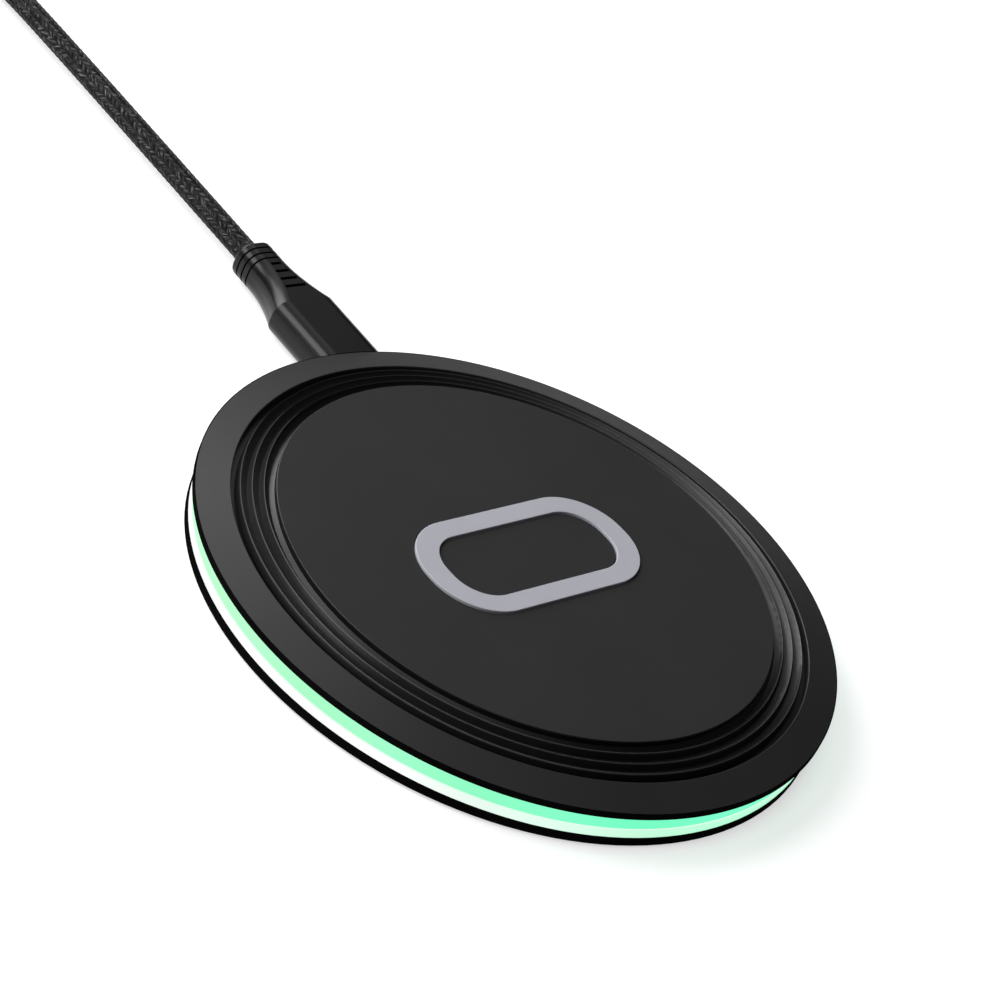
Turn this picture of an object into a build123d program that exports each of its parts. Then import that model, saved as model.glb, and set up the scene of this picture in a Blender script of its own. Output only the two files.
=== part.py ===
from build123d import *
import math
import os

# Wireless charging pad: a thin round case with a lit side band, and the USB lead that plugs into it.
# Millimetres. +Z is up. The origin is on the table under the middle of the pad, and +Y is the way
# that the lead leaves the case.

# ---------------------------------------------------------------- driving sizes of the case
pad_radius = 50.0
foot_proud = 0.5
base_lip = 1.4
light_height = 4.2
rim_lip = 1.0
rim_rise = 1.2
plate_rise = 1.4
wall_thin = 1.0
base_floor = 1.2
rim_width = 5.07
rim_taper = 0.15
light_inset = 0.75
light_width = 2.25
light_step = 0.12
light_split = 0.37 * light_height
base_inset = 0.55
edge_round = 0.15

plate_gap = 0.93
plate_edge_round = 0.12
ridge_count = 3
ridge_pitch = 1.675
ridge_foot = 0.65
ridge_first = 1.0
ridge_edge = 0.35
ridge_top = 2.2
ridge_fall = 0.325
ridge_depth = 1.1
ridge_back = 0.5
first_valley = 0.95
foot_slope = 0.4
scallop = 0.12
ledge_width = 3.4
ledge_thickness = 0.6

grip_length = 39.65
grip_width = 19.37
grip_corner = 9.2
grip_end_band = 3.85
grip_side_band = 3.3
grip_inner_corner = 5.7
grip_thickness = 0.65
grip_seat_depth = 0.3
grip_gap = 0.18
grip_turn = 3.0

foot_width = 6.8
foot_inset = 9.0
foot_depth = 0.5
foot_fit = 0.1

# ---------------------------------------------------------------- heights up the case
z_base = foot_proud
z_floor = z_base + base_floor
z_seat = z_base + base_lip
z_light = z_seat + light_height
z_rim = z_light + rim_lip
z_rim_inner = z_rim + rim_rise
z_top = z_rim_inner + plate_rise
z_ceiling = z_top - wall_thin

foot_radius = pad_radius - foot_inset
rim_inner_radius = pad_radius - rim_width
plate_radius = rim_inner_radius - plate_gap
plateau_radius = plate_radius - ridge_edge - (ridge_count - 1) * ridge_pitch - ridge_first - ridge_foot
ledge_radius = plate_radius - ledge_width
z_ledge = z_light + ledge_thickness
light_radius = pad_radius - light_inset
light_inner_radius = light_radius - light_width
cavity_radius = plateau_radius - wall_thin

# ---------------------------------------------------------------- fasteners
screw_diameter = 1.8
head_diameter = 3.2
head_thickness = 0.8
head_fit = 0.2
shank_fit = 0.15
case_screw_angles = (45, 135, 225, 315)
case_post_diameter = 5.6
case_post_top = z_floor + 1.4
head_floor = 0.8
tray_screw_angles = (30, 150, 210, 330)
tray_post_diameter = 4.4
board_screw_angles = (50, 180, 270)
board_post_diameter = 4.0

# ---------------------------------------------------------------- electronics
tray_fit = 1.15
tray_screw_inset = 2.2
board_inset = 2.8
board_screw_inset = 3.5
board_gap = 0.7
board_thickness = 0.8
board_neck = 18.0
tray_thickness = 1.0
coil_clearance = 0.25
ferrite_radius = 23.5
ferrite_thickness = 1.1
tape_thickness = 0.1
tape_inner_radius = 9.5
wire_diameter = 1.05
wire_pitch = 1.12
wire_turns = 10
winding_radius = 10.5
wire_bend = 1.3
wire_hole = 2.2
led_board_width = 2.6
led_board_thickness = 0.6
led_count = 12
led_size = (1.0, 1.8, 0.8)
led_clearance = 1.0
led_jumper_angle = 196
led_jumper_diameter = 0.7

tray_radius = cavity_radius - tray_fit
tray_screw_radius = tray_radius - tray_screw_inset
board_radius = tray_screw_radius - board_inset
board_screw_radius = board_radius - board_screw_inset

z_board = z_floor + board_gap
z_board_top = z_board + board_thickness
z_wire = z_ceiling - coil_clearance - wire_diameter / 2
z_tape_top = z_wire - wire_diameter / 2
z_ferrite_top = z_tape_top - tape_thickness
z_tray_top = z_ferrite_top - ferrite_thickness
z_tray = z_tray_top - tray_thickness
parts_room = z_tray - z_board_top

# ---------------------------------------------------------------- port and plug (USB Type-C sizes)
port_x = 4.0
port_drop = 0.1
port_z = z_seat + light_height / 2 - port_drop
port_width = 8.34
port_height = 2.56
port_wall = 0.3
port_depth = 7.0
port_recess = 0.25
window_fit = 0.2
tongue_width = 6.69
tongue_thickness = 0.7
tongue_length = 4.6
plug_width = 8.25
plug_height = 2.4
plug_wall = 0.3
plug_length = 6.65
plug_root = 3.5
slot_fit = 0.12
tip_gap = 0.25

cover_width = 12.1
cover_thickness = 6.4
cover_corner = 2.7
cover_gap = 0.1
cover_length = 12.4
cover_bevel = 0.25

relief_length = 15.85
relief_flat = 1.1
flare_length = 10.4
neck_width = 6.9
neck_corner = 2.6
rib_count = 3
rib_pitch = 1.33
rib_groove = 0.36
rib_depth = 0.28
slit_count = 4
slit_first = 4.5
slit_pitch = 1.9
slit_width = 0.65
slit_depth = 0.9
slit_long = 4.1
slit_short = 1.9

# ---------------------------------------------------------------- cable, coil and far plug
cable_diameter = 4.0
cable_hold = 12.0
coil_centre_x = -23.0
coil_centre_y = 192.0
coil_radius = 23.0
coil_columns = 3
coil_layers = 2
tie_thickness = 0.6
tie_width = 6.0

usb_a_width = 15.6
usb_a_thickness = 7.8
usb_a_corner = 2.0
usb_a_length = 20.0
usb_a_bevel = 0.5
usb_a_relief = 10.0
usb_a_relief_end = 5.4
shell_width = 12.0
shell_height = 4.5
shell_wall = 0.3
shell_length = 18.75
shell_out = 12.0
shell_fit = 0.02
shell_window = 2.2
insert_thickness = 1.9
contact_width = 1.0
contact_thickness = 0.15
contact_pitch = 2.2
contact_length = 7.4

coil_width = coil_columns * cable_diameter
coil_height = coil_layers * cable_diameter
coil_outer = coil_radius + coil_width / 2
coil_inner = coil_radius - coil_width / 2
z_coil = tie_thickness
z_coil_top = z_coil + coil_height
coil_track = coil_outer - cable_diameter / 2
z_lay = z_coil + cable_diameter / 2
z_over = z_coil_top - cable_diameter / 2
usb_a_z = usb_a_thickness / 2

cover_front = math.sqrt((pad_radius + cover_gap) ** 2 - port_x ** 2)
cover_end = cover_front + cover_length
relief_end = cover_end + relief_length
cable_start = relief_end - cable_hold
plug_tip = cover_front - plug_length
port_mouth = math.sqrt(light_radius ** 2 - (port_x + port_width / 2 + port_wall) ** 2) - port_recess
port_back = port_mouth - port_depth - port_wall

os.makedirs("parts", exist_ok=True)


def save(part, label):
    """Label one finished piece and write it to its own STEP file."""
    part.label = label
    export_step(part, f"parts/{label}.step")


def ring_sketch(outer, inner):
    """Flat ring on the current sketch plane."""
    Circle(outer)
    Circle(inner, mode=Mode.SUBTRACT)


# ---------------------------------------------------------------- base cover
with BuildPart() as base_cover:
    with BuildSketch(Plane.XZ):
        with BuildLine():
            Polyline(
                (0, z_base),
                (pad_radius - base_inset - 0.05, z_base),
                (pad_radius - base_inset, z_seat),
                (light_inner_radius, z_seat),
                (light_inner_radius, z_floor),
                (0, z_floor),
                close=True,
            )
        make_face()
    revolve(axis=Axis.Z)
    with BuildSketch(Plane.XY.offset(z_floor)):
        with PolarLocations(foot_radius, 4, start_angle=case_screw_angles[0]):
            Circle(case_post_diameter / 2)
    extrude(amount=case_post_top - z_floor)
    with BuildSketch(Plane.XY.offset(z_floor)):
        for angle in tray_screw_angles:
            with PolarLocations(tray_screw_radius, 1, start_angle=angle):
                Circle(tray_post_diameter / 2)
    extrude(amount=z_tray - z_floor)
    with BuildSketch(Plane.XY.offset(z_floor)):
        for angle in board_screw_angles:
            with PolarLocations(board_screw_radius, 1, start_angle=angle):
                Circle(board_post_diameter / 2)
    extrude(amount=z_board - z_floor)
    with BuildSketch(Plane.XY.offset(z_base)):
        ring_sketch(foot_radius + foot_width / 2, foot_radius - foot_width / 2)
    extrude(amount=foot_depth, mode=Mode.SUBTRACT)
    with BuildSketch(Plane.XY.offset(z_base)):
        with PolarLocations(foot_radius, 4, start_angle=case_screw_angles[0]):
            Circle(head_diameter / 2 + head_fit)
    extrude(amount=case_post_top - head_floor - z_base, mode=Mode.SUBTRACT)
    with BuildSketch(Plane.XY.offset(z_base)):
        with PolarLocations(foot_radius, 4, start_angle=case_screw_angles[0]):
            Circle(screw_diameter / 2 + shank_fit)
    extrude(amount=case_post_top - z_base, mode=Mode.SUBTRACT)
    with BuildSketch(Plane.XY.offset(z_tray)):
        for angle in tray_screw_angles:
            with PolarLocations(tray_screw_radius, 1, start_angle=angle):
                Circle(screw_diameter / 2)
    extrude(amount=-(z_tray - z_floor - 0.3), mode=Mode.SUBTRACT)
    with BuildSketch(Plane.XY.offset(z_board)):
        for angle in board_screw_angles:
            with PolarLocations(board_screw_radius, 1, start_angle=angle):
                Circle(screw_diameter / 2)
    extrude(amount=-(z_board - z_base - 0.5), mode=Mode.SUBTRACT)
save(base_cover.part, "base_cover")

with BuildPart() as foot_ring:
    with BuildSketch():
        ring_sketch(foot_radius + foot_width / 2 - foot_fit, foot_radius - foot_width / 2 + foot_fit)
    extrude(amount=foot_proud + foot_depth)
    fillet(foot_ring.edges().group_by(Axis.Z)[0], 0.2)
save(foot_ring.part, "foot_ring")


def screws(angles, radius, z_head, z_tip, z_top_of_head):
    """Identical screws on a circle; the head lies between z_head and z_top_of_head."""
    with BuildPart() as group:
        with BuildSketch(Plane.XY.offset(min(z_head, z_top_of_head))):
            for angle in angles:
                with PolarLocations(radius, 1, start_angle=angle):
                    Circle(head_diameter / 2)
        extrude(amount=abs(z_top_of_head - z_head))
        with BuildSketch(Plane.XY.offset(z_head)):
            for angle in angles:
                with PolarLocations(radius, 1, start_angle=angle):
                    Circle(screw_diameter / 2)
        extrude(amount=z_tip - z_head)
        with BuildSketch(Plane.XY.offset(z_top_of_head)):
            for angle in angles:
                with PolarLocations(radius, 1, start_angle=angle):
                    RegularPolygon(0.7, 6)
        extrude(amount=0.4 if z_top_of_head < z_head else -0.4, mode=Mode.SUBTRACT)
    return group.part


z_case_head = case_post_top - head_floor
case_screws = screws(case_screw_angles, foot_radius, z_case_head, z_light - 0.5, z_case_head - head_thickness)
save(case_screws, "case_screws")
tray_screws = screws(
    tray_screw_angles, tray_screw_radius, z_tray_top, z_floor + 0.6, z_tray_top + head_thickness
)
save(tray_screws, "tray_screws")
board_screws = screws(
    board_screw_angles, board_screw_radius, z_board_top, z_base + 0.8, z_board_top + head_thickness
)
save(board_screws, "board_screws")

# ---------------------------------------------------------------- lit side band
window_width = port_width + 2 * port_wall + 2 * window_fit
window_height = port_height + 2 * port_wall + 2 * window_fit

with BuildPart() as light_ring:
    with BuildSketch(Plane.XZ):
        with BuildLine():
            Polyline(
                (light_inner_radius, z_seat),
                (light_radius, z_seat),
                (light_radius, z_seat + light_split),
                (light_radius - light_step, z_seat + light_split + light_step),
                (light_radius - light_step, z_light),
                (light_inner_radius, z_light),
                close=True,
            )
        make_face()
    revolve(axis=Axis.Z)
    with BuildSketch(Plane.XZ):
        with Locations((port_x, port_z)):
            RectangleRounded(window_width, window_height, window_height / 2 - 0.01)
    extrude(amount=-pad_radius, mode=Mode.SUBTRACT)
save(light_ring.part, "light_ring")

# ---------------------------------------------------------------- sloping outer ring
with BuildPart() as top_bezel:
    with BuildSketch(Plane.XZ):
        with BuildLine():
            Polyline(
                (ledge_radius, z_light),
                (pad_radius - rim_taper, z_light),
                (pad_radius, z_rim),
                (rim_inner_radius, z_rim_inner),
                (rim_inner_radius, z_ledge),
                (ledge_radius, z_ledge),
                close=True,
            )
        make_face()
    revolve(axis=Axis.Z)
    fillet(top_bezel.edges().filter_by(GeomType.CIRCLE).sort_by(SortBy.RADIUS)[-1], edge_round)
    fillet(top_bezel.edges().group_by(Axis.Z)[-1], edge_round)
    with BuildSketch(Plane.XY.offset(case_post_top)):
        with PolarLocations(foot_radius, 4, start_angle=case_screw_angles[0]):
            Circle(case_post_diameter / 2 - 0.4)
    extrude(amount=z_light + 0.1 - case_post_top)
    with BuildSketch(Plane.XY.offset(case_post_top)):
        with PolarLocations(foot_radius, 4, start_angle=case_screw_angles[0]):
            Circle(screw_diameter / 2)
    extrude(amount=z_light - 0.3 - case_post_top, mode=Mode.SUBTRACT)
save(top_bezel.part, "top_bezel")

# ---------------------------------------------------------------- ribbed top plate
crest_radii = [plate_radius - ridge_edge - ridge_pitch * (ridge_count - 1 - i) for i in range(ridge_count)]
crest_heights = [z_rim + ridge_top - ridge_fall * i for i in range(ridge_count)]
grip_plane = Plane.XY.offset(z_top).rotated((0, 0, grip_turn))

with BuildPart() as top_plate:
    with BuildSketch(Plane.XZ):
        with BuildLine():
            foot = (plateau_radius, crest_heights[0] - first_valley + foot_slope)
            Line((0, z_top), (plateau_radius, z_top))
            Line((plateau_radius, z_top), foot)
            valley = (plateau_radius + ridge_foot, crest_heights[0] - first_valley)
            Line(foot, valley)
            for index in range(ridge_count):
                crest = (crest_radii[index], crest_heights[index])
                middle = (
                    (valley[0] + crest[0]) / 2 + scallop,
                    (valley[1] + crest[1]) / 2 - scallop,
                )
                ThreePointArc(valley, middle, crest)
                drop = ridge_back if index < ridge_count - 1 else plate_radius - crest_radii[index]
                valley = (crest[0] + drop, crest[1] - ridge_depth)
                Line(crest, valley)
            Polyline(
                valley,
                (plate_radius, z_ledge),
                (cavity_radius, z_ledge),
                (cavity_radius, z_ceiling),
                (0, z_ceiling),
                (0, z_top),
            )
        make_face()
    revolve(axis=Axis.Z)
    fillet(top_plate.edges().group_by(Axis.Z)[-1], plate_edge_round)
    # the seat that the grip ring is glued into, with a narrow groove left on both sides of the ring
    with BuildSketch(grip_plane):
        RectangleRounded(grip_length + 2 * grip_gap, grip_width + 2 * grip_gap, grip_corner + grip_gap)
        RectangleRounded(
            grip_length - 2 * grip_end_band - 2 * grip_gap,
            grip_width - 2 * grip_side_band - 2 * grip_gap,
            grip_inner_corner - grip_gap,
            mode=Mode.SUBTRACT,
        )
    extrude(amount=-grip_seat_depth, mode=Mode.SUBTRACT)
save(top_plate.part, "top_plate")

with BuildPart() as grip_ring:
    with BuildSketch(grip_plane.offset(-grip_seat_depth)):
        RectangleRounded(grip_length, grip_width, grip_corner)
        RectangleRounded(
            grip_length - 2 * grip_end_band,
            grip_width - 2 * grip_side_band,
            grip_inner_corner,
            mode=Mode.SUBTRACT,
        )
    extrude(amount=grip_thickness)
    fillet(grip_ring.edges().group_by(Axis.Z)[-1], 0.12)
save(grip_ring.part, "grip_ring")

# ---------------------------------------------------------------- coil, shield and tray
hook_radius = 5.0
inner_drop = (winding_radius - hook_radius - 3.0, -hook_radius)
outer_drop = (winding_radius + wire_turns * wire_pitch, 3.0)

with BuildPart() as charging_coil:
    with BuildLine() as wire_path:
        rise = FilletPolyline(
            (inner_drop[0], inner_drop[1], z_board_top),
            (inner_drop[0], inner_drop[1], z_wire),
            (winding_radius - hook_radius, inner_drop[1], z_wire),
            radius=wire_bend,
        )
        RadiusArc(
            (winding_radius - hook_radius, inner_drop[1], z_wire),
            (winding_radius, 0, z_wire),
            -hook_radius,
        )
        for turn in range(wire_turns):
            near = winding_radius + turn * wire_pitch
            far = near + wire_pitch
            ThreePointArc((near, 0, z_wire), (0, near, z_wire), (-near, 0, z_wire))
            ThreePointArc(
                (-near, 0, z_wire),
                (wire_pitch / 2, -(near + far) / 2, z_wire),
                (far, 0, z_wire),
            )
        FilletPolyline(
            (outer_drop[0], 0, z_wire),
            (outer_drop[0], outer_drop[1], z_wire),
            (outer_drop[0], outer_drop[1], z_board_top),
            radius=wire_bend,
        )
    with BuildSketch(Plane(origin=(inner_drop[0], inner_drop[1], z_board_top), z_dir=(0, 0, 1))):
        Circle(wire_diameter / 2)
    sweep()
save(charging_coil.part, "charging_coil")

with BuildPart() as ferrite_shield:
    with BuildSketch(Plane.XY.offset(z_tray_top)):
        Circle(ferrite_radius)
        with Locations(inner_drop, outer_drop):
            Circle(wire_hole / 2, mode=Mode.SUBTRACT)
    extrude(amount=ferrite_thickness)
save(ferrite_shield.part, "ferrite_shield")

with BuildPart() as coil_tape:
    with BuildSketch(Plane.XY.offset(z_ferrite_top)):
        ring_sketch(outer_drop[0] - wire_hole / 2, tape_inner_radius)
    extrude(amount=tape_thickness)
save(coil_tape.part, "coil_tape")

with BuildPart() as coil_tray:
    with BuildSketch(Plane.XY.offset(z_tray)):
        Circle(tray_radius)
        for angle in tray_screw_angles:
            with PolarLocations(tray_screw_radius, 1, start_angle=angle):
                Circle(screw_diameter / 2 + shank_fit, mode=Mode.SUBTRACT)
        with Locations(inner_drop, outer_drop):
            Circle(wire_hole / 2, mode=Mode.SUBTRACT)
    extrude(amount=tray_thickness)
save(coil_tray.part, "coil_tray")

with BuildPart() as thermistor:
    with BuildSketch(Plane.XY.offset(z_ferrite_top)):
        with Locations((-3.0, 3.0)):
            Circle(1.2)
    extrude(amount=0.9)
    fillet(thermistor.edges().group_by(Axis.Z)[-1], 0.4)
save(thermistor.part, "thermistor")

# ---------------------------------------------------------------- main board and what is on it
port_outer_width = port_width + 2 * port_wall
port_outer_height = port_height + 2 * port_wall
board_end = math.sqrt(light_inner_radius ** 2 - (port_x + board_neck / 2) ** 2) - 0.3

with BuildPart() as main_board:
    with BuildSketch(Plane.XY.offset(z_board)):
        Circle(board_radius)
        with Locations((port_x, board_end / 2)):
            Rectangle(board_neck, board_end)
        with Locations((port_x, board_end)):
            Rectangle(port_outer_width + 0.3, 2 * (board_end - port_back + 0.15), mode=Mode.SUBTRACT)
        for angle in board_screw_angles:
            with PolarLocations(board_screw_radius, 1, start_angle=angle):
                Circle(screw_diameter / 2 + shank_fit, mode=Mode.SUBTRACT)
    extrude(amount=board_thickness)
save(main_board.part, "main_board")


def blocks(places, length, width, height, bevel):
    """Identical boxed components on the board, at the given places."""
    with BuildPart() as group:
        with BuildSketch(Plane.XY.offset(z_board_top)):
            with Locations(*places):
                Rectangle(length, width)
        extrude(amount=height)
        chamfer(group.edges().group_by(Axis.Z)[-1], bevel)
    return group.part


save(blocks([(-2, -12)], 5.0, 5.0, 0.9, 0.08), "controller_chip")
save(blocks([(-13, 4), (-13, -4)], 3.3, 3.3, 0.8, 0.08), "power_drivers")
save(
    blocks([(9, -15), (13, -15), (9, -11), (13, -11)], 3.2, 2.5, parts_room - 0.5, 0.1),
    "resonant_capacitors",
)
inductor_y = port_back - 8.0
save(blocks([(port_x, inductor_y)], 6.2, 6.2, parts_room - 0.2, 0.3), "input_inductor")
save(
    blocks([(port_x - 6.5, inductor_y - 2), (port_x - 6.5, inductor_y + 2)], 3.2, 1.6, parts_room - 0.8, 0.1),
    "input_capacitors",
)

# ---------------------------------------------------------------- lights for the side band
led_board_outer = light_inner_radius - 0.2
led_board_inner = led_board_outer - led_board_width
z_led = z_floor + led_board_thickness
led_track = led_board_outer - led_size[0] / 2
led_neck_room = (board_neck + led_size[1]) / 2 + led_clearance
led_first_angle = math.degrees(math.acos((port_x - led_neck_room) / led_track))
led_last_angle = 360 + math.degrees(math.acos((port_x + led_neck_room) / led_track))

with BuildPart() as led_ring_board:
    with BuildSketch(Plane.XY.offset(z_floor)):
        ring_sketch(led_board_outer, led_board_inner)
        with Locations((port_x, led_board_outer)):
            Rectangle(port_outer_width + 1.0, 4 * led_board_width, mode=Mode.SUBTRACT)
    extrude(amount=led_board_thickness)
save(led_ring_board.part, "led_ring_board")

with BuildPart() as side_leds:
    with BuildSketch(Plane.XY.offset(z_led)):
        with PolarLocations(
            led_track,
            led_count,
            start_angle=led_first_angle,
            angular_range=led_last_angle - led_first_angle,
            endpoint=True,
        ):
            Rectangle(led_size[0], led_size[1])
    extrude(amount=led_size[2])
save(side_leds.part, "side_leds")

z_jumper = z_tray - coil_clearance - led_jumper_diameter / 2
jumper_outer = led_board_inner + 0.9
jumper_inner = board_radius - 2.0
jumper_plane = Plane.XZ.rotated((0, 0, led_jumper_angle))
with BuildPart() as led_jumper:
    with BuildLine(jumper_plane):
        FilletPolyline(
            (jumper_outer, z_led),
            (jumper_outer, z_jumper),
            (jumper_inner, z_jumper),
            (jumper_inner, z_board_top),
            radius=0.5,
        )
    with BuildSketch(Plane(origin=jumper_plane.from_local_coords((jumper_outer, z_led, 0)), z_dir=(0, 0, 1))):
        Circle(led_jumper_diameter / 2)
    sweep()
save(led_jumper.part, "led_jumper")

# ---------------------------------------------------------------- port in the case
# Plane.XZ looks along -Y, so its extrusions with a negative amount run towards +Y.


def lead_plane(y):
    """Plane across the plug's axis at y; sketches on it are x across and z up from the axis."""
    return Plane(origin=(port_x, y, port_z), x_dir=(1, 0, 0), z_dir=(0, -1, 0))


with BuildPart() as port_shell:
    with BuildSketch(lead_plane(port_back)):
        RectangleRounded(port_outer_width, port_outer_height, port_outer_height / 2 - 0.01)
    extrude(amount=-(port_mouth - port_back))
    with BuildSketch(lead_plane(port_back + port_wall)):
        RectangleRounded(port_width, port_height, port_height / 2 - 0.01)
    extrude(amount=-port_depth, mode=Mode.SUBTRACT)
save(port_shell.part, "port_shell")

with BuildPart() as port_tongue:
    with BuildSketch(lead_plane(port_back + port_wall)):
        RectangleRounded(port_width - 0.04, port_height - 0.04, port_height / 2 - 0.05)
    extrude(amount=-0.6)
    with BuildSketch(lead_plane(port_back + port_wall)):
        Rectangle(tongue_width, tongue_thickness)
    extrude(amount=-(0.6 + tongue_length))
save(port_tongue.part, "port_tongue")

# ---------------------------------------------------------------- plug that goes into the port
with BuildPart() as usb_c_plug_shell:
    with BuildSketch(lead_plane(plug_tip)):
        RectangleRounded(plug_width, plug_height, plug_height / 2 - 0.01)
        RectangleRounded(
            plug_width - 2 * plug_wall,
            plug_height - 2 * plug_wall,
            plug_height / 2 - plug_wall - 0.01,
            mode=Mode.SUBTRACT,
        )
    extrude(amount=-(plug_length + plug_root))
save(usb_c_plug_shell.part, "usb_c_plug_shell")

with BuildPart() as usb_c_plug_insert:
    with BuildSketch(lead_plane(plug_tip + tip_gap)):
        RectangleRounded(
            plug_width - 2 * plug_wall - 0.02,
            plug_height - 2 * plug_wall - 0.02,
            plug_height / 2 - plug_wall - 0.03,
        )
    extrude(amount=-(plug_length + plug_root - tip_gap))
    with BuildSketch(lead_plane(plug_tip + tip_gap)):
        Rectangle(tongue_width + 2 * slot_fit, tongue_thickness + 2 * slot_fit)
    extrude(amount=-(tongue_length + 0.8), mode=Mode.SUBTRACT)
save(usb_c_plug_insert.part, "usb_c_plug_insert")

with BuildPart() as plug_housing:
    with BuildSketch(lead_plane(cover_end)):
        RectangleRounded(cover_width, cover_thickness, cover_corner)
    extrude(amount=cover_length + 4.0)
    with BuildSketch(Plane.XY):
        Circle(pad_radius + cover_gap)
    extrude(amount=z_top, mode=Mode.SUBTRACT)
    with BuildSketch(lead_plane(plug_tip)):
        RectangleRounded(plug_width, plug_height, plug_height / 2 - 0.01)
    extrude(amount=-(plug_length + plug_root), mode=Mode.SUBTRACT)
save(plug_housing.part, "plug_housing")


def flare_width(share):
    """Width of the strain relief along its flare: full at 0, the neck's at 1, hollow between."""
    return neck_width + (cover_width - neck_width) * (1 - share) ** 1.9


with BuildPart() as plug_strain_relief:
    with BuildSketch(lead_plane(cover_end)):
        RectangleRounded(cover_width, cover_thickness, cover_corner)
    extrude(amount=-relief_flat)
    flare_start = cover_end + relief_flat
    for share in (0.0, 0.14, 0.3, 0.5, 0.75, 1.0):
        corner = cover_corner + (neck_corner - cover_corner) * share
        with BuildSketch(lead_plane(flare_start + flare_length * share)):
            RectangleRounded(flare_width(share), cover_thickness - 0.1 * share, corner)
    loft()
    neck_start = flare_start + flare_length
    with BuildSketch(lead_plane(neck_start)):
        RectangleRounded(neck_width, cover_thickness - 0.1, neck_corner)
    extrude(amount=-(relief_end - neck_start))
    fillet(plug_strain_relief.edges().group_by(Axis.Y)[-1], 0.45)
    for index in range(rib_count):
        groove_at = relief_end - rib_pitch * (index + 1)
        with BuildSketch(lead_plane(groove_at)):
            RectangleRounded(neck_width + 1, cover_thickness + 1, neck_corner)
            RectangleRounded(
                neck_width - 2 * rib_depth,
                cover_thickness - 0.1 - 2 * rib_depth,
                neck_corner - rib_depth,
                mode=Mode.SUBTRACT,
            )
        extrude(amount=rib_groove, mode=Mode.SUBTRACT)
    for side in (1, -1):
        for index in range(slit_count):
            length = slit_long + (slit_short - slit_long) * index / (slit_count - 1)
            slit_at = cover_end + slit_first + slit_pitch * index
            with BuildSketch(Plane.XY.offset(port_z + side * cover_thickness / 2)):
                with Locations((port_x, slit_at)):
                    Rectangle(length, slit_width)
            extrude(amount=-side * slit_depth, mode=Mode.SUBTRACT)
    with BuildSketch(lead_plane(relief_end)):
        Circle(cable_diameter / 2)
    extrude(amount=cable_hold, mode=Mode.SUBTRACT)
save(plug_strain_relief.part, "plug_strain_relief")


# ---------------------------------------------------------------- cable
def corner_radii(points):
    """Largest arc for each corner: 0.45 of the shorter run over the tangent of half the turn."""
    radii = []
    for before, corner, after in zip(points, points[1:], points[2:]):
        first = Vector(*corner) - Vector(*before)
        second = Vector(*after) - Vector(*corner)
        half_turn = math.radians(first.get_angle(second)) / 2
        radii.append(0.45 * min(first.length, second.length) / math.tan(half_turn))
    return radii


def cable_tube(points, label):
    """Plain tube along straight runs joined by tangent arcs; its radii and volume are printed."""
    radii = corner_radii(points)
    start = Vector(*points[0])
    with BuildPart() as tube:
        with BuildLine() as route:
            FilletPolyline(*points, radius=radii)
        with BuildSketch(Plane(origin=start, z_dir=Vector(*points[1]) - start)):
            Circle(cable_diameter / 2)
        sweep()
    length = sum(edge.length for edge in route.edges())
    section = math.pi * (cable_diameter / 2) ** 2
    print(label, "radii", [round(radius, 1) for radius in radii], "length", round(length, 1))
    print(label, "volume over section x length", round(tube.part.volume / (section * length), 4))
    save(tube.part, label)
    return length


cable_points = [
    (port_x, cable_start, port_z),
    (port_x, 143.0, port_z),
    (port_x + 0.3, 163.0, z_lay),
    (port_x - 0.3, coil_centre_y - 3.0, z_lay),
]
tail_points = [
    (coil_centre_x + 4.7, coil_centre_y - coil_track + 0.4, z_over),
    (6.0, 169.6, z_over + 0.4),
    (16.6, 177.3, 5.1),
    (22.0, 189.0, usb_a_z),
    (22.0, 201.0, usb_a_z),
]
cable_length = cable_tube(cable_points, "cable")
tail_length = cable_tube(tail_points, "cable_tail")

with BuildPart() as cable_coil:
    with BuildSketch(Plane.XZ.offset(-coil_centre_y)):
        with Locations((coil_centre_x + coil_radius, z_coil + coil_height / 2)):
            RectangleRounded(coil_width, coil_height, cable_diameter / 2)
    revolve(axis=Axis((coil_centre_x, coil_centre_y, 0), (0, 0, 1)))
save(cable_coil.part, "cable_coil")

with BuildPart() as cable_tie:
    with BuildSketch(Plane.YZ.offset(coil_centre_x - tie_width / 2)):
        with Locations((coil_centre_y + coil_radius, z_coil + coil_height / 2)):
            RectangleRounded(
                coil_width + 2 * tie_thickness + 0.6,
                coil_height + 2 * tie_thickness,
                cable_diameter / 2,
            )
            RectangleRounded(coil_width + 0.6, coil_height, cable_diameter / 2 - 0.3, mode=Mode.SUBTRACT)
    extrude(amount=tie_width)
save(cable_tie.part, "cable_tie")

# ---------------------------------------------------------------- far plug (USB Type-A sizes)
usb_a_x = tail_points[-1][0]
usb_a_start = tail_points[-1][1]
usb_a_front = usb_a_start + usb_a_relief + usb_a_length
usb_a_tip = usb_a_front + shell_out
shell_root = usb_a_tip - shell_length


def usb_a_plane(y):
    """Plane across the far plug's axis at y."""
    return Plane(origin=(usb_a_x, y, usb_a_z), x_dir=(1, 0, 0), z_dir=(0, -1, 0))


with BuildPart() as usb_a_strain_relief:
    with BuildSketch(usb_a_plane(usb_a_start)):
        Circle(usb_a_relief_end / 2)
    with BuildSketch(usb_a_plane(usb_a_start + usb_a_relief)):
        RectangleRounded(9.0, 6.4, 2.6)
    loft()
save(usb_a_strain_relief.part, "usb_a_strain_relief")

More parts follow.
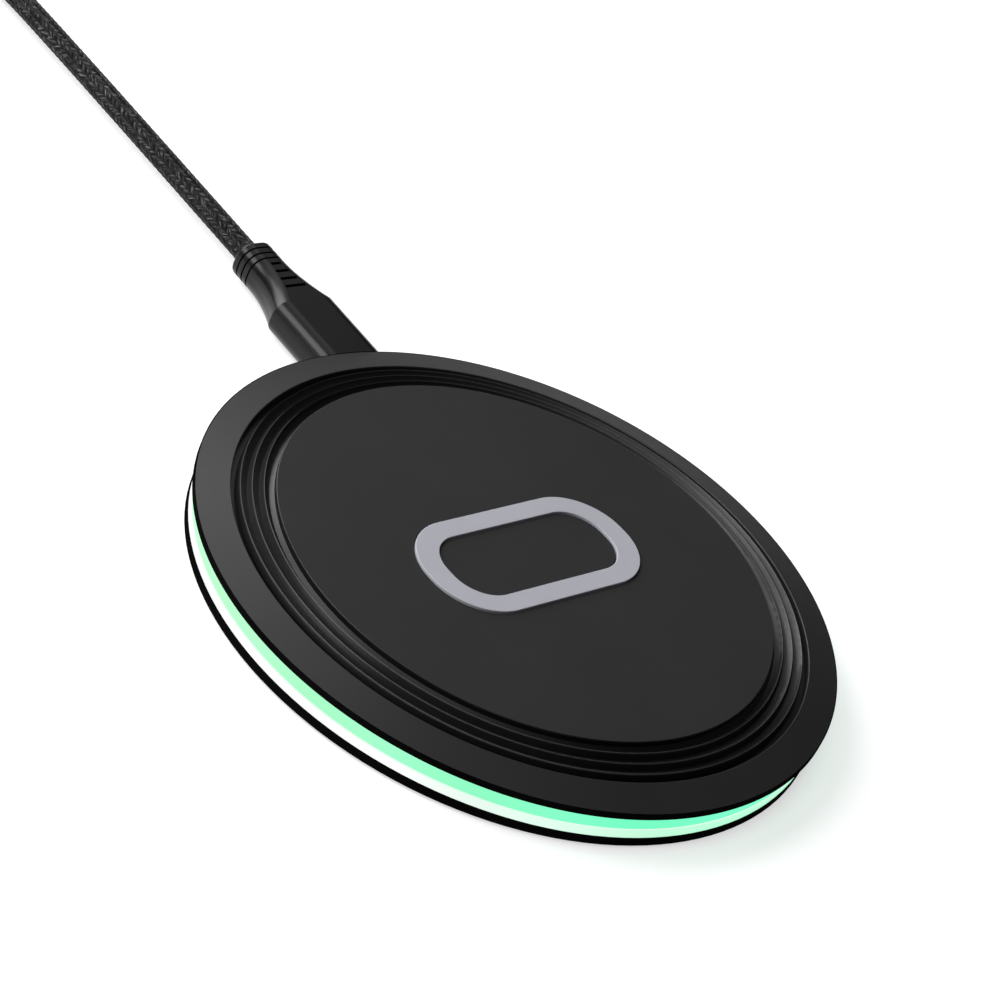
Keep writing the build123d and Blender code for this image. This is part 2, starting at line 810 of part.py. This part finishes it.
with BuildPart() as usb_a_housing:
    with BuildSketch(usb_a_plane(usb_a_start + usb_a_relief)):
        RectangleRounded(usb_a_width, usb_a_thickness, usb_a_corner)
    extrude(amount=-usb_a_length)
    fillet(usb_a_housing.edges().group_by(Axis.Y)[0], usb_a_bevel)
    fillet(usb_a_housing.edges().group_by(Axis.Y)[-1], usb_a_bevel)
    with BuildSketch(usb_a_plane(shell_root)):
        Rectangle(shell_width + 2 * shell_fit, shell_height + 2 * shell_fit)
    extrude(amount=-(usb_a_front - shell_root), mode=Mode.SUBTRACT)
save(usb_a_housing.part, "usb_a_housing")

with BuildPart() as usb_a_shell:
    with BuildSketch(usb_a_plane(shell_root)):
        RectangleRounded(shell_width, shell_height, 0.5)
        RectangleRounded(
            shell_width - 2 * shell_wall, shell_height - 2 * shell_wall, 0.25, mode=Mode.SUBTRACT
        )
    extrude(amount=-shell_length)
    with BuildSketch(Plane.XY.offset(usb_a_z)):
        with Locations((usb_a_x - 2.9, usb_a_tip - 5.2), (usb_a_x + 2.9, usb_a_tip - 5.2)):
            Rectangle(shell_window, shell_window)
    extrude(amount=shell_height, both=True, mode=Mode.SUBTRACT)
save(usb_a_shell.part, "usb_a_shell")

insert_width = shell_width - 2 * shell_wall - 0.3
z_insert = usb_a_z - shell_height / 2 + shell_wall + 0.05
with BuildPart() as usb_a_insert:
    with BuildSketch(Plane(origin=(usb_a_x, shell_root + 0.2, z_insert + insert_thickness / 2),
                           x_dir=(1, 0, 0), z_dir=(0, -1, 0))):
        Rectangle(insert_width, insert_thickness)
    extrude(amount=-(shell_length - 0.8))
save(usb_a_insert.part, "usb_a_insert")

with BuildPart() as usb_a_contacts:
    with BuildSketch(Plane.XY.offset(z_insert + insert_thickness)):
        for index in range(4):
            across = (index - 1.5) * contact_pitch
            with Locations((usb_a_x + across, usb_a_tip - 1.4 - contact_length / 2)):
                Rectangle(contact_width, contact_length)
    extrude(amount=contact_thickness)
save(usb_a_contacts.part, "usb_a_contacts")

print("rim", round(z_rim, 2), "top", round(z_top + grip_thickness, 2), "wire top", z_wire + wire_diameter / 2)
print("port mouth", round(port_mouth, 2), "back", round(port_back, 2), "plug tip", round(plug_tip, 2))
print("cover front", round(cover_front, 2), "cover end", round(cover_end, 2), "relief end", round(relief_end, 2))
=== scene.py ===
import math

import bmesh
import bpy
from mathutils import Matrix, Vector


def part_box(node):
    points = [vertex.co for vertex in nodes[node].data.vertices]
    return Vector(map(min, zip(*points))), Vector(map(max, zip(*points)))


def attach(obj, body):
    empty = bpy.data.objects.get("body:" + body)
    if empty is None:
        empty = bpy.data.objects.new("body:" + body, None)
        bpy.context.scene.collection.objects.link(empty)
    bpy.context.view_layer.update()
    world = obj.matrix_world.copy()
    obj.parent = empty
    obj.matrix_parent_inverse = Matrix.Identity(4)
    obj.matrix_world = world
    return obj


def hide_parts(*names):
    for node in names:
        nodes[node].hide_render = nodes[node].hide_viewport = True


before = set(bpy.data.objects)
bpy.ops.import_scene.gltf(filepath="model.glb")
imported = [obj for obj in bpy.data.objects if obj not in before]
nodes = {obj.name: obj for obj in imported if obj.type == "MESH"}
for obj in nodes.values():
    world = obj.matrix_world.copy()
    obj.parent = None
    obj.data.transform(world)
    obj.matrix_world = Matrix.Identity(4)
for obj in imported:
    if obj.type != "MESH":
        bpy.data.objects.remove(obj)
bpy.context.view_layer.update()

# The looks of a round wireless charging pad with a lit side band and a braided USB lead.
# Metres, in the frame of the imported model: +Z up, and +Y the way that the lead leaves the case.

MM = 0.001

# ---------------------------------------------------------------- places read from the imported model
CASE_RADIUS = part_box("top_bezel")[1].x
BAND_LOW, BAND_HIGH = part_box("light_ring")[0].z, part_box("light_ring")[1].z
LIP_LOW, LIP_HIGH = BAND_HIGH, BAND_HIGH + 1.0 * MM
PARTING = BAND_LOW + 0.37 * (BAND_HIGH - BAND_LOW)
LAMP_COUNT = 12

# The plate's rings, as in part.py: the edge of its disc, and the crests of its three ridges.
DISC_RADIUS = 38.55 * MM
CREST_RADIUS, CREST_PITCH, CREST_COUNT = 40.3 * MM, 1.675 * MM, 3
CREST_MARGIN = 0.2 * MM
LAST_CREST = CREST_RADIUS + (CREST_COUNT - 1) * CREST_PITCH


# ---------------------------------------------------------------- camera
def add_camera():
    """Looks down at the pad from its near left, with the picture turned about the line of sight."""
    aim = Vector((-0.0016, 0.0091, 0.0136))
    distance, heading, elevation, roll = 0.469, -52.5, 33.24, 25.49
    data = bpy.data.cameras.new("view")
    data.sensor_width = 36
    data.lens = 117.22
    data.clip_start = 0.01
    camera = bpy.data.objects.new("view", data)
    bpy.context.collection.objects.link(camera)
    camera.matrix_world = (
        Matrix.Translation(aim)
        @ Matrix.Rotation(math.radians(heading), 4, "Z")
        @ Matrix.Rotation(math.radians(90 - elevation), 4, "X")
        @ Matrix.Rotation(math.radians(roll), 4, "Z")
        @ Matrix.Translation((0, 0, distance))
    )
    bpy.context.scene.camera = camera


add_camera()

# ---------------------------------------------------------------- the lead's route, as in part.py
CABLE_DIAMETER = 4.0 * MM
CABLE_POINTS = [(4.0, 66.19, 3.9), (4.0, 143.0, 3.9), (4.3, 163.0, 2.6), (3.7, 189.0, 2.6)]
TAIL_POINTS = [
    (-18.1, 164.4, 6.6), (6.0, 169.6, 7.0), (16.6, 177.3, 5.1), (22.0, 189.0, 3.9), (22.0, 203.0, 3.9),
]

# The put-away coil, millimetres and degrees: two layers of three turns. Between SHIFT_START and a full
# turn, every turn moves over by one place, and the third one climbs to the upper layer.
COIL_CENTRE = (-23.0, 192.0)
COIL_OUTER, COIL_PITCH = 27.0, 4.0
COIL_LOW, COIL_HIGH = 2.6, 6.6
COIL_PLACES = [0, 1, 2, 2, 1, 0, -1]
COIL_END = 5 * 360 + 265
SHIFT_START = 235.0
CLIMB_TURN = 2
CLIMB_BULGE = 1.7
POINTS_A_TURN = 16


def coil_points():
    """Control points of the coil's turns, set out so that the spline inside them keeps the coil's size."""
    step = 360 / POINTS_A_TURN
    swell = 1 / math.cos(math.pi / POINTS_A_TURN)
    points = []
    angle = step / 2
    while angle < COIL_END:
        turn, within = int(angle // 360), angle % 360
        share = max(0.0, (within - SHIFT_START) / (360 - SHIFT_START))
        ease = (1 - math.cos(math.pi * share)) / 2
        place = COIL_PLACES[turn] + (COIL_PLACES[turn + 1] - COIL_PLACES[turn]) * ease
        radius = COIL_OUTER - COIL_PITCH * place
        height = COIL_LOW if turn <= CLIMB_TURN else COIL_HIGH
        if turn == CLIMB_TURN:
            radius -= CLIMB_BULGE * math.sin(math.pi * share)
            height += (COIL_HIGH - COIL_LOW) * ease
        around = math.radians(angle)
        points.append((
            COIL_CENTRE[0] + radius * swell * math.cos(around),
            COIL_CENTRE[1] + radius * swell * math.sin(around),
            height,
        ))
        angle += step
    return points


def spline_line(points, resolution=20):
    """The points of one NURBS spline through the route, as the curve itself gives them."""
    curve = bpy.data.curves.new("lead_route", "CURVE")
    curve.dimensions = "3D"
    curve.resolution_u = resolution
    spline = curve.splines.new("NURBS")
    spline.points.add(len(points) - 1)
    for point, (x, y, z) in zip(spline.points, points):
        point.co = (x * MM, y * MM, z * MM, 1)
    spline.order_u = 3
    spline.use_endpoint_u = True
    route = bpy.data.objects.new("lead_route", curve)
    bpy.context.collection.objects.link(route)
    bpy.context.view_layer.update()
    mesh = bpy.data.meshes.new_from_object(route)
    line = [vertex.co.copy() for vertex in mesh.vertices]
    bpy.data.meshes.remove(mesh)
    bpy.data.objects.remove(route)
    bpy.data.curves.remove(curve)
    return line


def stations(line, fine_step, fine_until, coarse_step):
    """(place, distance) along the line, closely spaced at first and wider further on."""
    found = [(line[0].copy(), 0.0)]
    travelled, goal = 0.0, fine_step
    for start, end in zip(line, line[1:]):
        run = (end - start).length
        while run > 0 and travelled + run >= goal:
            found.append((start.lerp(end, (goal - travelled) / run), goal))
            goal += fine_step if goal < fine_until else coarse_step
        travelled += run
    found.append((line[-1].copy(), travelled))
    return found


# ---------------------------------------------------------------- the braid
PLAIT_COLUMNS = 12
PLAIT_PERIOD = 1.38 * MM
PLAIT_RELIEF = 0.16 * MM
RINGS_A_PERIOD_SEEN, RINGS_A_PERIOD_COILED = 6, 3
SEEN_LENGTH = 0.125
SIDES_A_COLUMN = 3


def plait_height(column, row):
    """How far the plait stands out, from 0 in its gaps to 1 on its crowns, at a column and a row of it."""
    number = math.floor(column)
    across = column - number
    lean = across if number % 2 == 0 else 0.5 - across
    return (math.sin(math.pi * across) ** 0.6) * abs(math.sin(math.pi * (row + lean))) ** 0.7


def braided_lead():
    """A tube along the whole route, with the plait's crowns and gaps in its surface."""
    line = spline_line(CABLE_POINTS + coil_points() + TAIL_POINTS)
    fine_step, coarse_step = PLAIT_PERIOD / RINGS_A_PERIOD_SEEN, PLAIT_PERIOD / RINGS_A_PERIOD_COILED
    rings = stations(line, fine_step, SEEN_LENGTH, coarse_step)
    sides = PLAIT_COLUMNS * SIDES_A_COLUMN
    mesh = bmesh.new()
    uv = mesh.loops.layers.uv.new("plait")
    side = Vector((1, 0, 0))
    loops = []
    for index, (place, distance) in enumerate(rings):
        before, after = rings[max(index - 1, 0)][0], rings[min(index + 1, len(rings) - 1)][0]
        ahead = (after - before).normalized()
        side = (side - ahead * side.dot(ahead)).normalized()
        up = ahead.cross(side)
        loop = []
        for k in range(sides):
            column = k / SIDES_A_COLUMN
            around = math.tau * k / sides
            relief = PLAIT_RELIEF * (plait_height(column, distance / PLAIT_PERIOD) - 1)
            out = side * math.cos(around) + up * math.sin(around)
            loop.append(mesh.verts.new(place + out * (CABLE_DIAMETER / 2 + relief)))
        loops.append((loop, distance))
    for (low, low_at), (high, high_at) in zip(loops, loops[1:]):
        for k in range(sides):
            after = (k + 1) % sides
            face = mesh.faces.new((low[k], low[after], high[after], high[k]))
            face.smooth = True
            corners = ((k, low_at), (k + 1, low_at), (k + 1, high_at), (k, high_at))
            for corner, (number, distance) in zip(face.loops, corners):
                corner[uv].uv = (number / SIDES_A_COLUMN, distance / PLAIT_PERIOD)
    mesh.faces.new(reversed(loops[0][0]))
    mesh.faces.new(loops[-1][0])
    data = bpy.data.meshes.new("braided_lead")
    mesh.to_mesh(data)
    mesh.free()
    lead = bpy.data.objects.new("braided_lead", data)
    bpy.context.collection.objects.link(lead)
    return lead, [place for place, _ in rings[::2]] + [rings[-1][0]]


# ---------------------------------------------------------------- materials
class Surface:
    """A procedural material round one principled shader, whose plain numbers sit on its own sockets."""

    def __init__(self, name, **sockets):
        self.material = bpy.data.materials.new(name)
        self.material.use_nodes = True
        self.tree = self.material.node_tree
        self.shader = self.tree.nodes["Principled BSDF"]
        for socket, value in sockets.items():
            self.shader.inputs[socket.replace("_", " ")].default_value = value

    def add(self, kind, *inputs, **settings):
        """A node of that kind, with its inputs given in order as numbers, vectors or other sockets."""
        node = self.tree.nodes.new("ShaderNode" + kind)
        for name, value in settings.items():
            setattr(node, name, value)
        for socket, value in zip(node.inputs, inputs):
            if isinstance(value, bpy.types.NodeSocket):
                self.tree.links.new(value, socket)
            elif value is not None:
                socket.default_value = value
        return node

    def math(self, operation, *inputs):
        return self.add("Math", *inputs, operation=operation).outputs[0]

    def where(self):
        """Object coordinates, which are the frame's own, in metres."""
        return self.add("TexCoord").outputs["Object"]

    def radius(self):
        """The distance from the middle of the pad, seen from above."""
        x, y, _ = self.add("SeparateXYZ", self.where()).outputs
        return self.math("SQRT", self.math("MULTIPLY_ADD", x, x, self.math("MULTIPLY", y, y)))

    def noise(self, scale, detail=3.0, roughness=0.55, where=None):
        node = self.add("TexNoise")
        self.tree.links.new(where or self.where(), node.inputs["Vector"])
        node.inputs["Scale"].default_value = scale
        node.inputs["Detail"].default_value = detail
        node.inputs["Roughness"].default_value = roughness
        return node.outputs[0]

    def span(self, value, low, high, from_low=0.3, from_high=0.7):
        node = self.add("MapRange", value, from_low, from_high, low, high)
        return node.outputs[0]

    def mix(self, factor, first, second):
        """A colour between two, each given as three numbers or as a socket."""
        node = self.add("Mix", data_type="RGBA")
        self.tree.links.new(factor, node.inputs[0])
        for socket, colour in ((node.inputs[6], first), (node.inputs[7], second)):
            if isinstance(colour, bpy.types.NodeSocket):
                self.tree.links.new(colour, socket)
            else:
                socket.default_value = (*colour, 1)
        return node.outputs[2]

    def colour(self, socket):
        self.tree.links.new(socket, self.shader.inputs["Base Color"])

    def rough(self, socket):
        self.tree.links.new(socket, self.shader.inputs["Roughness"])

    def bump(self, height, distance, strength=1.0):
        node = self.add("Bump")
        node.inputs["Strength"].default_value = strength
        node.inputs["Distance"].default_value = distance
        self.tree.links.new(height, node.inputs["Height"])
        self.tree.links.new(node.outputs[0], self.shader.inputs["Normal"])


def moulded(name, dark, light, rough_low, rough_high, grain, depth, **sockets):
    """Moulded plastic or rubber: a fine grain, cloudy colour and gloss that varies a little."""
    surface = Surface(name, **sockets)
    cloud = surface.noise(45, detail=4)
    fine = surface.noise(grain, detail=2)
    blend = surface.math("ADD", cloud, surface.math("MULTIPLY", fine, 0.5))
    surface.colour(surface.mix(surface.span(blend, 0, 1, 0.55, 0.95), dark, light))
    surface.rough(surface.span(fine, rough_low, rough_high))
    surface.bump(fine, depth)
    return surface


def metal(name, dark, light, rough, grain, along):
    """Plated or drawn metal, with fine lines along one axis and a few duller patches."""
    surface = Surface(name, Metallic=1.0)
    mapping = surface.add("Mapping")
    surface.tree.links.new(surface.where(), mapping.inputs["Vector"])
    mapping.inputs["Scale"].default_value = along
    lines = surface.noise(grain, where=mapping.outputs[0])
    patches = surface.noise(300)
    surface.colour(surface.mix(surface.span(patches, 0, 1), dark, light))
    surface.rough(surface.span(lines, rough * 0.7, rough * 1.4))
    surface.bump(lines, 0.01 * MM)
    return surface


def plate_matte():
    """A matte textured disc, and darker satin ridges round it, with a lighter line painted along each crest."""
    surface = Surface("plate_matte", Specular_IOR_Level=0.28)
    radius = surface.radius()
    ridged = surface.math("GREATER_THAN", radius, DISC_RADIUS)
    fine = surface.noise(9000, detail=2)
    cloud = surface.span(surface.noise(45, detail=4), 0, 1)
    disc = surface.mix(cloud, (0.0125, 0.0125, 0.0125), (0.0155, 0.0155, 0.0155))
    ridges = surface.mix(cloud, (0.0035, 0.0035, 0.0035), (0.006, 0.006, 0.006))
    # Painted highlight: a lighter line along each ridge's crest, placed by radius, stands for the light that
    # the crests catch.
    from_crest = surface.math("PINGPONG", surface.math("SUBTRACT", radius, CREST_RADIUS), CREST_PITCH / 2)
    crest_highlight_falloff = surface.span(from_crest, 1, 0, 0.02 * MM, 0.09 * MM)
    past_first = surface.math("GREATER_THAN", radius, CREST_RADIUS - CREST_MARGIN)
    before_end = surface.math("LESS_THAN", radius, LAST_CREST + CREST_MARGIN)
    painted_crest_highlight = surface.math("MULTIPLY", crest_highlight_falloff, surface.math("MULTIPLY", past_first, before_end))
    ridges = surface.mix(painted_crest_highlight, ridges, (0.06, 0.06, 0.06))
    surface.colour(surface.mix(ridged, disc, ridges))
    matte, satin = surface.span(fine, 0.58, 0.7), surface.span(fine, 0.36, 0.42)
    surface.rough(surface.add("Mix", ridged, None, matte, satin).outputs[0])
    surface.bump(surface.math("MULTIPLY", fine, surface.math("MULTIPLY_ADD", ridged, -0.8, 1.0)), 0.008 * MM)
    return surface


def bezel_satin():
    return moulded(
        "bezel_satin", (0.0142, 0.0142, 0.015), (0.0172, 0.0172, 0.0186),
        0.34, 0.42, 9000, 0.006 * MM, Specular_IOR_Level=0.38,
    )


def case_black():
    """Black moulded plastic: a fine grain underneath and inside, and a deeper black painted on the outer lips
    as shade.
    """
    surface = Surface("case_black", Specular_IOR_Level=0.0)
    radius = surface.radius()
    fine = surface.noise(5000, detail=2)
    cloud = surface.span(surface.noise(45, detail=4), 0, 1)
    grain = surface.math("MULTIPLY", fine, surface.math("MULTIPLY_ADD", cloud, 0.4, 0.8))
    body = surface.mix(grain, (0.009, 0.009, 0.009), (0.028, 0.028, 0.029))
    # Painted shade: the outer lips get a deeper black by radius, standing for the shade along them.
    painted_lip_shade = surface.mix(cloud, (0.0015, 0.0015, 0.0015), (0.0035, 0.0035, 0.0035))
    on_shaded_lip = surface.math("GREATER_THAN", radius, CASE_RADIUS - 1.6 * MM)
    surface.colour(surface.mix(on_shaded_lip, body, painted_lip_shade))
    surface.rough(surface.span(fine, 0.5, 0.65))
    surface.bump(fine, 0.012 * MM)
    return surface


def foot_silicone():
    return moulded("foot_silicone", (0.02, 0.02, 0.021), (0.035, 0.035, 0.036), 0.62, 0.8, 5000, 0.012 * MM)


def grip_silicone():
    return moulded(
        "grip_silicone", (0.335, 0.335, 0.372), (0.36, 0.36, 0.402),
        0.5, 0.62, 8000, 0.008 * MM, Specular_IOR_Level=0.4,
    )


def plug_rubber():
    return moulded(
        "plug_rubber", (0.002, 0.002, 0.002), (0.004, 0.004, 0.004),
        0.2, 0.27, 8000, 0.004 * MM, Specular_IOR_Level=0.2,
    )


def tray_plastic():
    return moulded("tray_plastic", (0.13, 0.13, 0.14), (0.18, 0.18, 0.19), 0.45, 0.6, 5000, 0.01 * MM)


def contact_block():
    return moulded("contact_block", (0.03, 0.03, 0.034), (0.05, 0.05, 0.055), 0.35, 0.5, 6000, 0.005 * MM)


def chip_epoxy():
    return moulded("chip_epoxy", (0.025, 0.025, 0.028), (0.045, 0.045, 0.05), 0.5, 0.65, 12000, 0.01 * MM)


def ferrite():
    return moulded("ferrite", (0.05, 0.05, 0.056), (0.11, 0.11, 0.12), 0.5, 0.75, 4000, 0.03 * MM)


def epoxy():
    return moulded("epoxy", (0.05, 0.035, 0.03), (0.09, 0.065, 0.05), 0.15, 0.25, 2500, 0.02 * MM)


def wire_sheath():
    return moulded("wire_sheath", (0.4, 0.02, 0.02), (0.55, 0.05, 0.045), 0.35, 0.5, 4000, 0.008 * MM)


def led_body():
    return moulded("led_body", (0.8, 0.78, 0.68), (0.9, 0.9, 0.85), 0.25, 0.4, 5000, 0.005 * MM)


def capacitor_ceramic():
    return moulded("capacitor_ceramic", (0.42, 0.31, 0.2), (0.58, 0.45, 0.31), 0.4, 0.6, 6000, 0.01 * MM)


def tape():
    return moulded("tape", (0.72, 0.62, 0.36), (0.85, 0.78, 0.52), 0.45, 0.65, 3500, 0.015 * MM)


def screw_steel():
    return metal("screw_steel", (0.42, 0.43, 0.45), (0.6, 0.61, 0.63), 0.32, 2500, (1, 1, 0.2))


def port_steel():
    return metal("port_steel", (0.5, 0.51, 0.53), (0.66, 0.67, 0.69), 0.28, 2500, (1, 0.1, 1))


def plug_steel():
    return metal("plug_steel", (0.55, 0.56, 0.58), (0.7, 0.71, 0.73), 0.22, 2500, (1, 0.1, 1))


def contact_gold():
    return metal("contact_gold", (0.75, 0.52, 0.2), (0.92, 0.7, 0.34), 0.2, 2500, (1, 0.1, 1))


def copper_wire():
    return metal("copper_wire", (0.6, 0.26, 0.12), (0.8, 0.42, 0.24), 0.3, 6000, (1, 1, 1))


def circuit_board():
    """Solder mask over copper traces: a grid of raised lines under a green gloss."""
    surface = Surface("circuit_board", Roughness=0.3)
    brick = surface.add("TexBrick")
    surface.tree.links.new(surface.where(), brick.inputs["Vector"])
    brick.inputs["Scale"].default_value = 350
    traces = surface.math("MULTIPLY", brick.outputs["Fac"], surface.span(surface.noise(500), 0, 1, 0.45, 0.55))
    surface.colour(surface.mix(traces, (0.012, 0.11, 0.05), (0.03, 0.2, 0.09)))
    surface.bump(traces, 0.03 * MM)
    return surface


def tie_strap():
    """Hook-and-loop strap: short tangled loops that stand off the tape."""
    surface = Surface("tie_strap", Roughness=0.85, Sheen_Weight=0.08, Specular_IOR_Level=0.15)
    loops = surface.add("TexVoronoi", feature="F1")
    surface.tree.links.new(surface.where(), loops.inputs["Vector"])
    loops.inputs["Scale"].default_value = 2600
    surface.colour(surface.mix(loops.outputs["Distance"], (0.022, 0.022, 0.024), (0.003, 0.003, 0.003)))
    surface.bump(loops.outputs["Distance"], 0.12 * MM)
    return surface


def braid():
    """Black nylon plait: leaning floats in columns, split into filaments, with painted shade in its gaps and
    painted glints on a few filaments.
    """
    filaments = 4
    surface = Surface("braid", Specular_IOR_Level=0.08)
    split = surface.add("SeparateXYZ", surface.add("UVMap", uv_map="plait").outputs[0])
    column, row = split.outputs[0], split.outputs[1]
    number = surface.math("FLOOR", column)
    across = surface.math("FRACT", column)
    odd = surface.math("MODULO", number, 2.0)
    lean = surface.math(
        "ADD",
        surface.math("MULTIPLY", across, surface.math("MULTIPLY_ADD", odd, -2.0, 1.0)),
        surface.math("MULTIPLY", odd, 0.5),
    )
    phase = surface.math("ADD", row, lean)
    crown = surface.math("POWER", surface.math("SINE", surface.math("MULTIPLY", across, math.pi)), 0.6)
    float_shape = surface.math("ABSOLUTE", surface.math("SINE", surface.math("MULTIPLY", phase, math.pi)))
    strand = surface.math("MULTIPLY", crown, surface.math("POWER", float_shape, 0.7))
    thread = surface.math("MULTIPLY", phase, float(filaments))
    ridge = surface.math("ABSOLUTE", surface.math("SINE", surface.math("MULTIPLY", thread, math.pi)))
    height = surface.math("MULTIPLY", strand, surface.math("MULTIPLY_ADD", ridge, 0.45, 0.55))

    half = surface.math("FLOOR", surface.math("MULTIPLY_ADD", across, 1.6, 0.2))
    identity = surface.add("CombineXYZ", number, surface.math("FLOOR", thread), half)
    chance = surface.add("TexWhiteNoise", identity.outputs[0]).outputs["Value"]
    rare = surface.math("POWER", chance, 4.0)
    # Painted glints: a few filaments get a pale colour that stands for the light they catch.
    painted_glint = surface.math("MULTIPLY", rare, surface.math("MULTIPLY", strand, ridge))
    # Painted shade: the gaps between the floats are made much darker than the crowns.
    painted_gap_shade = surface.mix(surface.math("POWER", height, 1.8), (0.0005, 0.0005, 0.0006), (0.007, 0.007, 0.0075))
    surface.colour(surface.mix(painted_glint, painted_gap_shade, (0.2, 0.2, 0.205)))
    surface.rough(surface.span(chance, 0.34, 0.6, 0, 1))
    surface.bump(height, 0.18 * MM, 0.9)
    return surface


def frosted_light():
    """The lit band: green above the parting line and white below, bluer towards +X, with a faint lamp glow."""
    surface = Surface("frosted_light", Base_Color=(0.01, 0.01, 0.01, 1), Roughness=0.35, Specular_IOR_Level=0.1)
    split = surface.add("SeparateXYZ", surface.where())
    x, y, z = split.outputs
    around = surface.math("ARCTAN2", y, x)
    side = surface.math("MULTIPLY_ADD", y, -0.61, surface.math("MULTIPLY", x, 0.79))
    bluer = surface.span(side, 0, 1, -0.9 * CASE_RADIUS, 0.3 * CASE_RADIUS)
    green = surface.mix(bluer, (0.48, 1.0, 0.6), (0.17, 1.0, 0.56))
    greener = surface.span(side, 0, 1, -0.4 * CASE_RADIUS, 0.6 * CASE_RADIUS)
    white = surface.mix(greener, (1.0, 1.0, 1.0), (0.46, 0.98, 0.66))
    upper = surface.math("GREATER_THAN", z, PARTING)
    # Painted highlight: a pale line in the glow along the parting stands for the highlight on the step there.
    line = surface.math("COMPARE", z, PARTING, 0.08 * MM)
    lamps = surface.math("COSINE", surface.math("MULTIPLY", around, float(LAMP_COUNT)))
    glow = surface.math("MULTIPLY_ADD", lamps, 0.03, 0.99)
    lit = surface.mix(upper, white, green)
    lit = surface.mix(line, lit, (0.75, 1.0, 0.84))
    surface.tree.links.new(lit, surface.shader.inputs["Emission Color"])
    surface.tree.links.new(glow, surface.shader.inputs["Emission Strength"])
    surface.bump(surface.noise(3000), 0.01 * MM)
    return surface


MATERIALS = {maker.__name__: maker for maker in (
    plate_matte, bezel_satin, case_black, foot_silicone, grip_silicone, plug_rubber, tray_plastic,
    contact_block, chip_epoxy, ferrite, epoxy, wire_sheath, led_body, capacitor_ceramic, tape, screw_steel,
    port_steel, plug_steel, contact_gold, copper_wire, circuit_board, tie_strap, braid, frosted_light,
)}


def dress_nodes():
    """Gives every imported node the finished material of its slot, and returns the materials by name."""
    made = {name: maker().material for name, maker in MATERIALS.items()}
    for node in nodes.values():
        for held in node.material_slots:
            held.material = made[held.material.name.split(".")[0]]
    return made


# ---------------------------------------------------------------- painted shade: a black band round the case's lip
def painted_lip_shade_ring():
    """A thin black band round the upper shell's lip, a closed ring that stands for the shade there."""
    inner, outer = CASE_RADIUS - 0.12 * MM, CASE_RADIUS + 0.05 * MM
    low, high, round_off = LIP_LOW + 0.02 * MM, LIP_HIGH + 0.03 * MM, 0.05 * MM
    profile = [
        (inner, low), (outer, low), (outer, high - round_off), (outer - round_off, high), (inner, high),
    ]
    sides = 360
    mesh = bmesh.new()
    loops = []
    for k in range(sides):
        around = math.tau * k / sides
        loops.append([mesh.verts.new((r * math.cos(around), r * math.sin(around), z)) for r, z in profile])
    for k in range(sides):
        here, there = loops[k], loops[(k + 1) % sides]
        for n in range(len(profile)):
            m = (n + 1) % len(profile)
            mesh.faces.new((here[n], there[n], there[m], here[m]))
    bmesh.ops.recalc_face_normals(mesh, faces=mesh.faces)
    data = bpy.data.meshes.new("painted_lip_shade_ring")
    mesh.to_mesh(data)
    mesh.free()
    edge = bpy.data.objects.new("painted_lip_shade_ring", data)
    bpy.context.collection.objects.link(edge)
    return edge


# ---------------------------------------------------------------- stage and light
def add_floor():
    """A plain pale floor, a hair below the foot of the pad so that the two faces don't share a plane."""
    half, level = 3.0, -0.02 * MM
    data = bpy.data.meshes.new("floor")
    corners = [(-half, -half, level), (half, -half, level), (half, half, level), (-half, half, level)]
    data.from_pydata(corners, [], [(0, 1, 2, 3)])
    floor = bpy.data.objects.new("floor", data)
    bpy.context.collection.objects.link(floor)
    surface = moulded(
        "floor_paper", (0.56, 0.56, 0.56), (0.57, 0.57, 0.57),
        0.8, 0.95, 60, 0.005 * MM, Specular_IOR_Level=0.1,
    )
    surface.shader.inputs["Emission Color"].default_value = (1, 1, 1, 1)
    surface.shader.inputs["Emission Strength"].default_value = 0.6
    data.materials.append(surface.material)


def add_area(name, heading, elevation, distance, size, watts):
    """A square soft light that faces the pad, heading round from +X and up from the floor in degrees."""
    data = bpy.data.lights.new(name, "AREA")
    data.size = size
    data.energy = watts
    light = bpy.data.objects.new(name, data)
    level = math.cos(math.radians(elevation))
    direction = Vector((
        math.cos(math.radians(heading)) * level,
        math.sin(math.radians(heading)) * level,
        math.sin(math.radians(elevation)),
    ))
    light.location = direction * distance
    light.rotation_euler = direction.to_track_quat("Z", "Y").to_euler()
    bpy.context.collection.objects.link(light)


def add_light():
    """Dim white surroundings, and soft panels behind the pad and to its left."""
    world = bpy.data.worlds.new("surroundings")
    bpy.context.scene.world = world
    world.use_nodes = True
    background = world.node_tree.nodes["Background"]
    background.inputs["Color"].default_value = (1, 1, 1, 1)
    background.inputs["Strength"].default_value = 0.04
    add_area("far_panel", 90, 20, 0.9, 0.5, 5.1)
    add_area("left_panel", 137, 42, 0.9, 0.5, 6.0)
    add_area("low_left_panel", 160, 20, 0.9, 0.5, 3.4)
    add_area("top_panel", 200, 60, 0.9, 0.5, 2.2)
    add_area("high_panel", 75, 50, 0.9, 0.5, 0.9)
    add_area("right_panel", 60, 33, 0.9, 0.5, 0.3)
    bpy.context.scene.view_settings.view_transform = "Standard"


# ---------------------------------------------------------------- putting it together
materials = dress_nodes()
lead, lead_line = braided_lead()
lead.data.materials.append(materials["braid"])
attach(lead, "lead")
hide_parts("cable", "cable_coil", "cable_tail")
# Painted shade: a black ring along the case's lip.
edge = painted_lip_shade_ring()
edge.data.materials.append(materials["case_black"])
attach(edge, "pad")
add_floor()
add_light()
